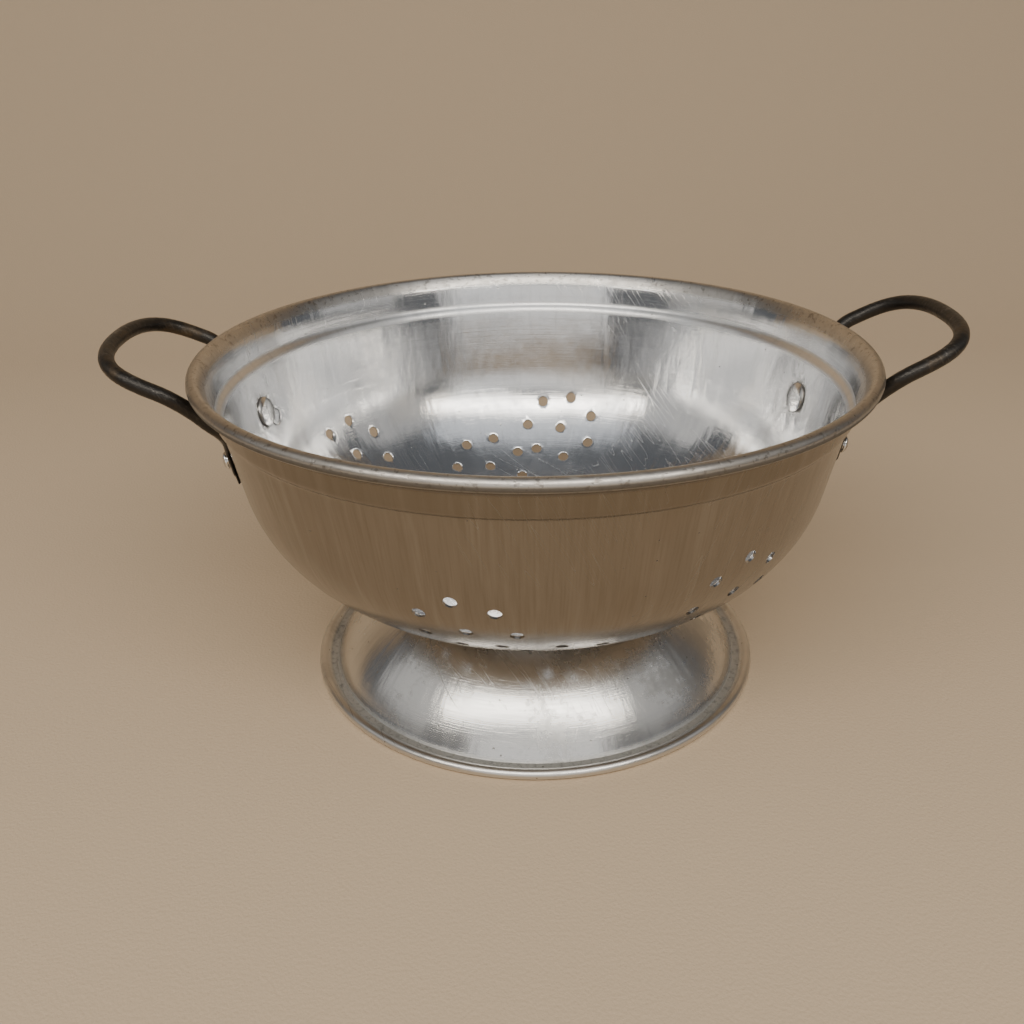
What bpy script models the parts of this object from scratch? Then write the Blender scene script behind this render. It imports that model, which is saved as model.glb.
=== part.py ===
"""Footed colander: a spun aluminium bowl on a domed ring foot, with two riveted wire handles.

Metres, +Z up. The origin is on the table under the middle of the bowl, and the handles lie along X.
"""
import math

import bmesh
import bpy
from mathutils import Matrix, Vector

# Driving dimensions
HEIGHT = 0.125               # table to the top of the rim bead
RIM_RADIUS = 0.120           # outer edge of the rim bead
RIM_BEAD = 0.00225           # radius of the rolled rim bead
SHEET = 0.0011               # thickness of the aluminium sheet
GAP = 0.0003                 # between pieces that touch
SEGMENTS = 48                # facets round the bowl and the foot

FLOOR_HEIGHT = 0.0352        # middle of the floor's sheet
FLOOR_RADIUS = 0.038         # flat part of the floor
DOME_RADIUS = 0.0745         # profile radius next to the floor
CORNER_RADIUS = 0.0515       # profile radius below the wall
DOME_TURN = 47.0             # degrees turned by the time the tighter radius starts
WALL_LEAN = 11.3             # degrees the wall leans out from upright
STEP_HEIGHT = 0.1095         # where the wall steps out under the rim
STEP_TURN = 48.0             # degrees the step leans further out than the wall
STEP_LENGTH = 0.0022         # length of the step's slope
CURL_END = -105.0            # where the rolled edge stops, degrees round the bead

FOOT_RADIUS = 0.087          # outer edge of the foot's bead
FOOT_BEAD = 0.0018           # radius of the foot's rolled bead
FOOT_SHEET = 0.0010
SKIRT_RADIUS = 0.060         # profile radius of the domed skirt
SKIRT_BASE = 0.0793          # radius where the skirt meets the gutter
SKIRT_SLOPE = 63.0           # degrees from level at the skirt's base
GUTTER_HEIGHT = 0.0016       # middle of the gutter's sheet
GUTTER_WIDTH = 0.0026        # from the skirt to where the foot's bead starts
FOOT_BEAD_CORNERS = range(135, -106, -30)   # degrees round the bead; the last two bound the face it rests on
FLANGE_HOLE = 0.0235         # opening in the foot's top flange

HOLE_RADIUS = 0.0022         # drain holes
HOLE_SIDES = 6
RING_RADIUS = 0.0153         # a rosette is one hole with a ring round it
RING_HOLES = 7
FLOOR_TURN = 90.0            # bearing of the first hole of the floor's ring
# Each rosette: its bearing round the bowl, its centre's height, and degrees from level to its first hole
ROSETTES = (
    (80, 0.0580, 2), (143, 0.0605, 3), (187, 0.0620, 2),
    (256, 0.0650, -3), (306, 0.0690, -12), (4, 0.0600, 2),
    (103, 0.0458, 4), (165, 0.0458, 2), (230, 0.0458, 2),
    (276, 0.0465, 2), (336, 0.0458, 2), (28, 0.0458, 2),
)
PUNCH_LENGTH = 0.024

RIVET_BEARING = 12.5         # degrees from a handle's middle to each of its rivets
RIVET_SHANK = 0.0020         # radius
RIVET_HEAD = (0.0060, 0.0017)          # inner head: radius, height
RIVET_TAIL = (0.0032, 0.0015)          # peened outer head: radius, height
DRILL_SIDES = 16
FOOT_RIVETS = 3
FOOT_RIVET_CIRCLE = 0.0285
FOOT_RIVET_SHANK = 0.0015
FOOT_RIVET_HEAD = (0.0031, 0.0011)
FLAT_BACK = 0.0003           # more room for a head's flat back on a faceted wall

# Each handle: the height of its rivets, the height where its loop starts, and degrees that the loop rises
HANDLES = {"right": (0.0945, 0.1181, 26.5), "left": (0.0930, 0.1163, 24.2)}
WIRE_RADIUS = 0.0027
LOOP_START = 0.116           # from the bowl's axis to where the loop starts
LOOP_REACH = 0.0308          # from there outwards, level
LOOP_HALF_WIDTH = 0.033
LOOP_BEND = 2.26             # exponents of the loop's outline: across and along
LOOP_SIDES = 4.9
LOOP_POINTS = 30
LEG_REACH = 0.010            # how far out on the loop each leg ends
LEG_POINTS = 9
LEG_PULLS = (0.0065, 0.0085)  # how far each leg runs on along the wall and back along the loop
ROUND_BY = 0.55              # share of the leg after which the wire is round
WIRE_SIDES = 10
PADDLE_BELOW = 0.0085        # how far each beaten end runs below and above its rivet
PADDLE_ABOVE = 0.0055
PADDLE_WIDTH = 0.0048        # half width
PADDLE_THICKNESS = 0.0011    # half thickness
TIP_SHARE = (0.62, 0.80)     # width and thickness at the very tip, of those of the rest


def polar(centre, radius, degrees):
    angle = math.radians(degrees)
    return Vector((centre[0] + radius * math.cos(angle), centre[1] + radius * math.sin(angle)))


def arc(centre, radius, start, stop, steps):
    return [polar(centre, radius, start + (stop - start) * i / steps) for i in range(steps + 1)]


def curl(start, centre, radius, stop, steps):
    """A straight run from start that wraps over a bead: first tangent to it, then round it.

    The bead's corners stand outside its circle, so that its flats touch the circle itself.
    """
    to_centre = Vector(centre) - start
    lean = math.degrees(math.atan2(to_centre.x, to_centre.y) - math.asin(radius / to_centre.length))
    touch = 180.0 - lean
    pitch = 180.0 / steps
    corners = [90.0 + pitch * 1.5 - pitch * i for i in range(steps + 3)]
    outer = radius / math.cos(math.radians(pitch / 2))
    around = [polar(centre, outer, a) for a in corners if stop <= a < touch - 5]
    return [polar(centre, radius, touch)] + around


def sheet_section(midline, thickness):
    """Outline of a sheet along its middle line: out along its lower side, back along its upper one."""
    lower, upper = [], []
    for i, point in enumerate(midline):
        before = (point - midline[i - 1]).normalized() if i > 0 else None
        after = (midline[i + 1] - point).normalized() if i < len(midline) - 1 else None
        along = ((before or after) + (after or before)).normalized()
        normal = Vector((along.y, -along.x))
        mitre = normal.dot(Vector((before.y, -before.x))) if before else 1.0
        offset = normal * (thickness / 2 / mitre)
        lower.append(point + offset)
        upper.append(point - offset)
    return lower + upper[::-1]


def add_object(name, mesh_data, material):
    mesh = bpy.data.meshes.new(name)
    mesh_data.to_mesh(mesh)
    mesh_data.free()
    mesh.materials.append(material)
    part = bpy.data.objects.new(name, mesh)
    bpy.context.scene.collection.objects.link(part)
    mesh.shade_smooth()
    mesh.set_sharp_from_angle(angle=math.radians(40))
    return part


def turned(name, section, segments, material):
    """Spin an outline of (radius, height) points about Z. It is a ring, or it starts and ends at the axis."""
    data = bmesh.new()
    verts = [data.verts.new((p[0], 0, p[1])) for p in section]
    edges = [data.edges.new(pair) for pair in zip(verts, verts[1:])]
    if min(p[0] for p in section) > 1e-6:
        edges.append(data.edges.new((verts[-1], verts[0])))
    bmesh.ops.spin(data, geom=verts + edges, cent=(0, 0, 0), axis=(0, 0, 1), angle=math.tau,
                   steps=segments, use_merge=True)
    bmesh.ops.remove_doubles(data, verts=data.verts, dist=1e-6)
    bmesh.ops.recalc_face_normals(data, faces=data.faces)
    return add_object(name, data, material)


def metal(name, colour, roughness, metallic=1.0):
    material = bpy.data.materials.new(name)
    material.use_nodes = True
    shader = material.node_tree.nodes["Principled BSDF"]
    shader.inputs["Base Color"].default_value = (*colour, 1.0)
    shader.inputs["Roughness"].default_value = roughness
    shader.inputs["Metallic"].default_value = metallic
    return material


def bowl_midline():
    """Middle of the bowl's sheet, from the axis out along the floor and up to the rolled rim."""
    corner_turn = 90.0 - WALL_LEAN
    dome_centre = (FLOOR_RADIUS, FLOOR_HEIGHT + DOME_RADIUS)
    corner_centre = polar(dome_centre, DOME_RADIUS - CORNER_RADIUS, DOME_TURN - 90)
    line = [Vector((0, FLOOR_HEIGHT))]
    line += arc(dome_centre, DOME_RADIUS, -90, DOME_TURN - 90, 5)
    line += arc(corner_centre, CORNER_RADIUS, DOME_TURN - 90, corner_turn - 90, 4)[1:]
    rise = STEP_HEIGHT - line[-1].y
    line.append(line[-1] + Vector((rise * math.tan(math.radians(WALL_LEAN)), rise)))
    slope = math.radians(WALL_LEAN + STEP_TURN)
    line.append(line[-1] + Vector((math.sin(slope), math.cos(slope))) * STEP_LENGTH)
    bead_centre = Vector((RIM_RADIUS - RIM_BEAD, HEIGHT - RIM_BEAD))
    line += curl(line[-1], bead_centre, RIM_BEAD - SHEET / 2, CURL_END, 6)
    return line


def wall_point(height):
    """Middle of the bowl's sheet at a height on its sloping wall or its curved lower part."""
    line = bowl_midline()
    for low, high in zip(line, line[1:]):
        if low.y <= height <= high.y and high.y > low.y:
            middle = low.lerp(high, (height - low.y) / (high.y - low.y))
            along = (high - low).normalized()
            return middle, Vector((along.y, -along.x))
    raise ValueError("no wall at that height")


def frame_at(bearing, height):
    """Matrix whose Z points out of the wall there, and whose Y runs up the wall."""
    middle, normal = wall_point(height)
    turn = Matrix.Rotation(math.radians(bearing), 4, "Z")
    out = turn @ Vector((normal.x, 0, normal.y))
    up = turn @ Vector((-normal.y, 0, normal.x))
    place = Matrix((up.cross(out), up, out)).transposed().to_4x4()
    place.translation = turn @ Vector((middle.x, 0, middle.y))
    return place


def cutter(name, places, sides, length):
    """Rods of (matrix, radius) along each matrix's Z, kept as a guide that isn't part of the object."""
    data = bmesh.new()
    for place, radius in places:
        bmesh.ops.create_cone(data, cap_ends=True, segments=sides, radius1=radius, radius2=radius,
                              depth=length, matrix=place)
    mesh = bpy.data.meshes.new(name)
    data.to_mesh(mesh)
    data.free()
    guide = bpy.data.objects.new(name, mesh)
    bpy.context.scene.collection.objects.link(guide)
    guide.hide_render = True
    guide.display_type = "WIRE"
    return guide


def cut(part, guide):
    tool = part.modifiers.new(guide.name, "BOOLEAN")
    tool.operation = "DIFFERENCE"
    tool.object = guide


def rosette(place, turn):
    """One hole in the middle and a ring round it, all punched straight along the middle one's axis."""
    holes = [place]
    for i in range(RING_HOLES):
        angle = math.radians(turn + 360.0 * i / RING_HOLES)
        offset = Vector((math.cos(angle), math.sin(angle), 0)) * RING_RADIUS
        holes.append(place @ Matrix.Translation(offset))
    return [(hole, HOLE_RADIUS) for hole in holes]


def handle_rivet_places():
    """Name and matrix of each handle rivet."""
    places = {}
    for side, middle, rear in (("right", 0.0, RIVET_BEARING), ("left", 180.0, -RIVET_BEARING)):
        height = HANDLES[side][0]
        places[side + "_handle_rear_rivet"] = frame_at(middle + rear, height)
        places[side + "_handle_front_rivet"] = frame_at(middle - rear, height)
    return places


def foot_rivet_places():
    places = {}
    for i in range(FOOT_RIVETS):
        angle = math.tau * i / FOOT_RIVETS + math.radians(90)
        spot = Vector((math.cos(angle), math.sin(angle), 0)) * FOOT_RIVET_CIRCLE
        spot.z = FLOOR_HEIGHT
        places["foot_rivet_%d" % (i + 1)] = Matrix.Translation(spot) @ Matrix.Rotation(math.pi, 4, "X")
    return places


def make_bowl(material):
    bowl = turned("bowl", sheet_section(bowl_midline(), SHEET), SEGMENTS, material)
    holes = rosette(Matrix.Translation((0, 0, FLOOR_HEIGHT)), FLOOR_TURN)
    for bearing, height, turn in ROSETTES:
        holes += rosette(frame_at(bearing, height), turn)
    cut(bowl, cutter("drain_hole_punch", holes, HOLE_SIDES, PUNCH_LENGTH))
    shanks = [(place, RIVET_SHANK + GAP) for place in handle_rivet_places().values()]
    shanks += [(place, FOOT_RIVET_SHANK + GAP) for place in foot_rivet_places().values()]
    cut(bowl, cutter("bowl_rivet_drill", shanks, DRILL_SIDES, 0.008))
    return bowl


def foot_midline():
    """Middle of the foot's sheet, from the top flange down the skirt, over the gutter and the bead."""
    top = FLOOR_HEIGHT - SHEET / 2 - GAP - FOOT_SHEET / 2
    base = Vector((SKIRT_BASE, GUTTER_HEIGHT))
    centre = polar(base, -SKIRT_RADIUS, 90 - SKIRT_SLOPE)
    top_slope = math.degrees(math.acos((top - centre.y) / SKIRT_RADIUS))
    line = [Vector((FLANGE_HOLE, top))]
    line += arc(centre, SKIRT_RADIUS, 90 - top_slope, 90 - SKIRT_SLOPE, 5)
    line.append(Vector((SKIRT_BASE + GUTTER_WIDTH, GUTTER_HEIGHT)))
    bead_centre = Vector((FOOT_RADIUS - FOOT_BEAD, FOOT_BEAD))
    half_pitch = math.radians(-FOOT_BEAD_CORNERS.step / 2)
    outer = (FOOT_BEAD - FOOT_SHEET / 2) / math.cos(half_pitch)
    line += [polar(bead_centre, outer, degrees) for degrees in FOOT_BEAD_CORNERS]
    return line


def make_foot(material):
    foot = turned("foot", sheet_section(foot_midline(), FOOT_SHEET)[::-1], SEGMENTS, material)
    drills = [(place, FOOT_RIVET_SHANK + GAP) for place in foot_rivet_places().values()]
    cut(foot, cutter("foot_rivet_drill", drills, DRILL_SIDES, 0.008))
    return foot


def rivet(name, place, shank, head, tail, head_base, tail_base, material):
    """A rivet along Z: a low domed head below -head_base, and a peened tail above tail_base."""
    section = [Vector((0, -head_base - head[1]))]
    section += [Vector((head[0] * math.sin(a), -head_base - head[1] * math.cos(a)))
                for a in (math.radians(d) for d in (35, 62, 82))]
    section += [Vector((head[0], -head_base)), Vector((shank, -head_base)), Vector((shank, tail_base))]
    section += [Vector((tail[0], tail_base))]
    section += [Vector((tail[0] * math.cos(a), tail_base + tail[1] * math.sin(a)))
                for a in (math.radians(d) for d in (30, 60))]
    section.append(Vector((0, tail_base + tail[1])))
    part = turned(name, section, 12, material)
    part.matrix_world = place
    return part


def loop_outline(reach):
    """Half a turn of the loop's outline as (along, across): a superellipse with nearly straight sides."""
    points = []
    for i in range(LOOP_POINTS * 8 + 1):
        angle = math.pi * i / (LOOP_POINTS * 8)
        across = math.copysign(abs(math.cos(angle)) ** (2 / LOOP_BEND), math.cos(angle))
        along = math.sin(angle) ** (2 / LOOP_SIDES)
        points.append(Vector((reach * along, LOOP_HALF_WIDTH * across)))
    return [p for p in points if p.x >= LEG_REACH]


def evenly(points, count):
    """The same polyline with count points, evenly spaced along it."""
    lengths = [0.0]
    for a, b in zip(points, points[1:]):
        lengths.append(lengths[-1] + (b - a).length)
    even, k = [], 0
    for i in range(count):
        want = lengths[-1] * i / (count - 1)
        while k < len(points) - 2 and lengths[k + 1] < want:
            k += 1
        share = (want - lengths[k]) / (lengths[k + 1] - lengths[k])
        even.append(points[k].lerp(points[k + 1], share))
    return even


def paddle_path(rivet_height):
    """Middle of a beaten end, from its tip up the outside of the wall, at the handle's +Y side."""
    path = []
    for i in range(5):
        height = rivet_height - PADDLE_BELOW + (PADDLE_BELOW + PADDLE_ABOVE) * i / 4
        middle, normal = wall_point(height)
        spot = middle + normal * (SHEET / 2 + GAP + PADDLE_THICKNESS)
        angle = math.radians(RIVET_BEARING)
        path.append(Vector((spot.x * math.cos(angle), spot.x * math.sin(angle), spot.y)))
    return path


def handle_path(rivet_height, loop_height, tilt):
    """Wire's middle line with its half width and half thickness, from one beaten end to the other."""
    outward = Vector((math.cos(tilt), 0, math.sin(tilt)))
    start = Vector((LOOP_START, 0, loop_height))
    outline = evenly(loop_outline(LOOP_REACH / math.cos(tilt)), LOOP_POINTS)
    loop = [start + outward * p.x + Vector((0, p.y, 0)) for p in outline]
    paddle = paddle_path(rivet_height)
    low, high = paddle[-1], loop[0]
    pull_low = low + (paddle[-1] - paddle[-2]).normalized() * LEG_PULLS[0]
    pull_high = high - (loop[1] - loop[0]).normalized() * LEG_PULLS[1]
    leg = []
    for i in range(1, LEG_POINTS):
        t = i / LEG_POINTS
        leg.append(low * (1 - t) ** 3 + pull_low * 3 * t * (1 - t) ** 2
                   + pull_high * 3 * t * t * (1 - t) + high * t ** 3)
    half = [(p, PADDLE_WIDTH, PADDLE_THICKNESS) for p in paddle]
    half[0] = (paddle[0], PADDLE_WIDTH * TIP_SHARE[0], PADDLE_THICKNESS * TIP_SHARE[1])
    for i, point in enumerate(leg):
        share = min(1.0, (i + 1) / (LEG_POINTS * ROUND_BY))
        share = share * share * (3 - 2 * share)
        half.append((point, PADDLE_WIDTH + (WIRE_RADIUS - PADDLE_WIDTH) * share,
                     PADDLE_THICKNESS + (WIRE_RADIUS - PADDLE_THICKNESS) * share))
    mirrored = [(Vector((p.x, -p.y, p.z)), w, t) for p, w, t in half[::-1]]
    return half + [(p, WIRE_RADIUS, WIRE_RADIUS) for p in loop] + mirrored


def swept(name, path, first_normal, material):
    """A solid along the path whose section is an ellipse; its thickness starts along first_normal."""
    data = bmesh.new()
    rings = []
    normal = first_normal
    for i, (point, width, thickness) in enumerate(path):
        along = (path[min(i + 1, len(path) - 1)][0] - path[max(i - 1, 0)][0]).normalized()
        normal = (normal - along * normal.dot(along)).normalized()
        side = along.cross(normal)
        ring = []
        for j in range(WIRE_SIDES):
            angle = math.tau * (j + 0.5) / WIRE_SIDES
            ring.append(data.verts.new(point + side * width * math.cos(angle)
                                       + normal * thickness * math.sin(angle)))
        rings.append(ring)
    for a, b in zip(rings, rings[1:]):
        for j in range(WIRE_SIDES):
            k = (j + 1) % WIRE_SIDES
            data.faces.new((a[j], a[k], b[k], b[j]))
    data.faces.new(rings[0])
    data.faces.new(rings[-1])
    bmesh.ops.recalc_face_normals(data, faces=data.faces)
    return add_object(name, data, material)


def make_handle(side, turn, material):
    normal = Matrix.Rotation(math.radians(RIVET_BEARING), 3, "Z") @ Vector((1, 0, 0))
    rivet_height, loop_height, tilt = HANDLES[side]
    path = handle_path(rivet_height, loop_height, math.radians(tilt))
    handle = swept(side + "_handle", path, normal, material)
    handle.rotation_euler.z = turn
    places = [place for name, place in handle_rivet_places().items() if name.startswith(side)]
    drills = [(place, RIVET_SHANK + GAP) for place in places]
    cut(handle, cutter(side + "_handle_drill", drills, DRILL_SIDES, 0.016))
    return handle


def main():
    for old in list(bpy.data.objects):
        bpy.data.objects.remove(old, do_unlink=True)
    bright = metal("spun_aluminium", (0.72, 0.71, 0.69), 0.28)
    satin = metal("foot_aluminium", (0.68, 0.67, 0.64), 0.34)
    head = metal("rivet_aluminium", (0.78, 0.77, 0.75), 0.25)
    steel = metal("dark_steel", (0.045, 0.038, 0.030), 0.42)
    make_bowl(bright)
    make_foot(satin)
    make_handle("right", 0.0, steel)
    make_handle("left", math.pi, steel)
    inner = SHEET / 2 + GAP + FLAT_BACK
    outer = SHEET / 2 + 2 * GAP + 2 * PADDLE_THICKNESS
    for name, place in handle_rivet_places().items():
        rivet(name, place, RIVET_SHANK, RIVET_HEAD, RIVET_TAIL, inner, outer, head)
    below = SHEET / 2 + 2 * GAP + FOOT_SHEET
    for name, place in foot_rivet_places().items():
        head_base = SHEET / 2 + GAP
        rivet(name, place, FOOT_RIVET_SHANK, FOOT_RIVET_HEAD, FOOT_RIVET_HEAD, head_base, below, head)


main()
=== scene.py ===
import math

import bpy
from mathutils import Matrix, Vector


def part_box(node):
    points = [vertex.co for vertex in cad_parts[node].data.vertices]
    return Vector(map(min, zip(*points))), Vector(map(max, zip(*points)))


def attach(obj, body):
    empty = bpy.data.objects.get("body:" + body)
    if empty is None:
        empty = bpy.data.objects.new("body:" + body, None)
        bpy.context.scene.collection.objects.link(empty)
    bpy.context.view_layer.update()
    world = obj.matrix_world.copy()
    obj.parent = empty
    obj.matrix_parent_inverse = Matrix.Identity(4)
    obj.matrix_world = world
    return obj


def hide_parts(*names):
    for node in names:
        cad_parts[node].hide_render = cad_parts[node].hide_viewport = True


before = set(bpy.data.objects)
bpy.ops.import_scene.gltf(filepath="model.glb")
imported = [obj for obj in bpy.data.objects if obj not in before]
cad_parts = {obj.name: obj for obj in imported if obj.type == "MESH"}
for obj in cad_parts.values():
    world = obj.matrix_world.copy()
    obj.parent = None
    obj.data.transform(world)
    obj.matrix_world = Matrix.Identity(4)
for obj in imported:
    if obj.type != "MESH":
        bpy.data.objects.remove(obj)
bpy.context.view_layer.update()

# Metres, +Z up. The handles lie along X, and the front of the bowl faces -Y.


def onCircle(centre, radius, degrees):
    angle = math.radians(degrees)
    return Vector((centre.x + radius * math.cos(angle), 0, centre.z + radius * math.sin(angle)))


def arc(centre, radius, start, stop, steps):
    return [onCircle(centre, radius, start + (stop - start) * i / steps) for i in range(steps + 1)]


def fillet(before, corner, after, radius, steps=4):  # rounds one corner of an outline
    a, b = (before - corner).normalized(), (after - corner).normalized()
    half = a.angle(b) / 2
    reach = radius / math.tan(half)
    centre = corner + (a + b).normalized() * (radius / math.sin(half))
    start, stop = corner + a * reach - centre, corner + b * reach - centre
    return [centre + start.slerp(stop, i / steps) * radius for i in range(steps + 1)]


def bend(start, startPull, endPull, end, steps):  # a cubic curve without its first point
    line = []
    for i in range(1, steps + 1):
        t = i / steps
        line.append(start * (1 - t) ** 3 + startPull * 3 * t * (1 - t) ** 2
                    + endPull * 3 * t * t * (1 - t) + end * t ** 3)
    return line


def spaced(outline, gap):  # the same outline with no stretch longer than gap
    line = [outline[0]]
    for a, b in zip(outline, outline[1:]):
        steps = max(1, math.ceil((b - a).length / gap))
        line += [a.lerp(b, i / steps) for i in range(1, steps + 1)]
    return line


def deselectAll():
    if bpy.context.object and bpy.context.object.mode != "OBJECT":
        bpy.ops.object.mode_set(mode="OBJECT")
    bpy.ops.object.select_all(action="DESELECT")


def pick(piece):
    deselectAll()
    piece.select_set(True)
    bpy.context.view_layer.objects.active = piece


def editWhere(piece, kind, test):  # edit mode, with only what passes the test selected
    pick(piece)
    bpy.ops.object.mode_set(mode="EDIT")
    bpy.ops.mesh.select_mode(type=kind)
    bpy.ops.mesh.select_all(action="DESELECT")
    bpy.ops.object.mode_set(mode="OBJECT")
    points = piece.data.vertices
    if kind == "VERT":
        for vertex in points:
            vertex.select = test(vertex.co)
    elif kind == "EDGE":
        for edge in piece.data.edges:
            edge.select = test(*(points[i].co for i in edge.vertices))
    else:
        for face in piece.data.polygons:
            face.select = test(face)
    bpy.ops.object.mode_set(mode="EDIT")


def addModifier(piece, kind, **settings):
    pick(piece)
    modifier = piece.modifiers.new(kind.title(), kind)
    for key, value in settings.items():
        setattr(modifier, key, value)
    bpy.ops.object.modifier_apply(modifier=modifier.name)


def settle(piece):  # puts a piece's place into its mesh
    pick(piece)
    bpy.ops.object.transform_apply(location=True, rotation=True, scale=True)


def turnOutline(name, outline, steps):  # draws an outline point by point and spins it about Z
    deselectAll()
    bpy.ops.mesh.primitive_plane_add(size=0.001)
    piece = bpy.context.object
    piece.name = piece.data.name = name
    bpy.ops.object.mode_set(mode="EDIT")
    bpy.ops.mesh.select_mode(type="VERT")
    bpy.ops.mesh.select_all(action="SELECT")
    bpy.ops.mesh.merge(type="CENTER")
    bpy.ops.transform.translate(value=outline[0])
    for a, b in zip(outline, outline[1:]):
        bpy.ops.mesh.extrude_region_move(TRANSFORM_OT_translate={"value": b - a})
    bpy.ops.mesh.select_all(action="SELECT")
    bpy.ops.mesh.spin(steps=steps, angle=math.tau, center=(0, 0, 0), axis=(0, 0, 1))
    bpy.ops.mesh.select_all(action="SELECT")
    bpy.ops.mesh.remove_doubles(threshold=0.000005)
    bpy.ops.mesh.normals_make_consistent(inside=False)
    bpy.ops.object.mode_set(mode="OBJECT")
    return piece


def copyTo(piece, places):  # one copy at each matrix, all joined; the first one goes
    copies = []
    for place in places:
        copy = piece.copy()
        copy.data = piece.data.copy()
        copy.matrix_world = place
        bpy.context.scene.collection.objects.link(copy)
        copies.append(copy)
    pick(copies[0])
    for copy in copies:
        copy.select_set(True)
    bpy.ops.object.join()
    bpy.data.objects.remove(piece)
    joined = bpy.context.object
    settle(joined)
    return joined


def cutAway(piece, cutter):
    addModifier(piece, "BOOLEAN", operation="DIFFERENCE", solver="EXACT", object=cutter)
    bpy.data.objects.remove(cutter)


def smooth(piece, degrees=32):
    pick(piece)
    bpy.ops.object.shade_smooth_by_angle(angle=math.radians(degrees))


def finishPiece(piece, material, slot, *nodes):
    piece.data.materials.clear()
    piece.data.materials.append(material)
    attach(piece, "root")
    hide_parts(*nodes)


def clouds(name, size, depth=2):
    texture = bpy.data.textures.new(name, "CLOUDS")
    texture.noise_scale = size
    texture.noise_depth = depth
    return texture


downward = Vector((0, 0.000001, -1)).normalized()  # just off plumb, so that placeAt can find a side


def placeAt(point, outward):  # matrix whose Z points out of the sheet and whose Y runs up it
    side = Vector((0, 0, 1)).cross(outward).normalized()
    place = Matrix((side, outward.cross(side), outward)).transposed().to_4x4()
    place.translation = point
    return place


def onSheet(sheet, start, direction):  # where a line from inside meets the sheet
    hit, point, normal, face = sheet.ray_cast(start, direction)
    if not hit:
        raise ValueError("the line misses the sheet")
    return placeAt(point, normal if normal.dot(direction) > 0 else -normal)


def onWall(sheet, bearing, height):
    angle = math.radians(bearing)
    return onSheet(sheet, Vector((0, 0, height)), Vector((math.cos(angle), math.sin(angle), 0)))


class Value:  # a node's output that Python's operators work on
    def __init__(self, finish, socket):
        self.finish, self.socket = finish, socket

    def maths(self, operation, *terms):
        return self.finish.node("ShaderNodeMath", {"operation": operation}, dict(enumerate(terms)))

    def __add__(self, other):
        return self.maths("ADD", self, other)

    def __radd__(self, other):
        return self.maths("ADD", other, self)

    def __sub__(self, other):
        return self.maths("SUBTRACT", self, other)

    def __rsub__(self, other):
        return self.maths("SUBTRACT", other, self)

    def __mul__(self, other):
        return self.maths("MULTIPLY", self, other)

    def __rmul__(self, other):
        return self.maths("MULTIPLY", other, self)

    def __truediv__(self, other):
        return self.maths("DIVIDE", self, other)

    def __abs__(self):
        return self.maths("ABSOLUTE", self)


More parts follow.
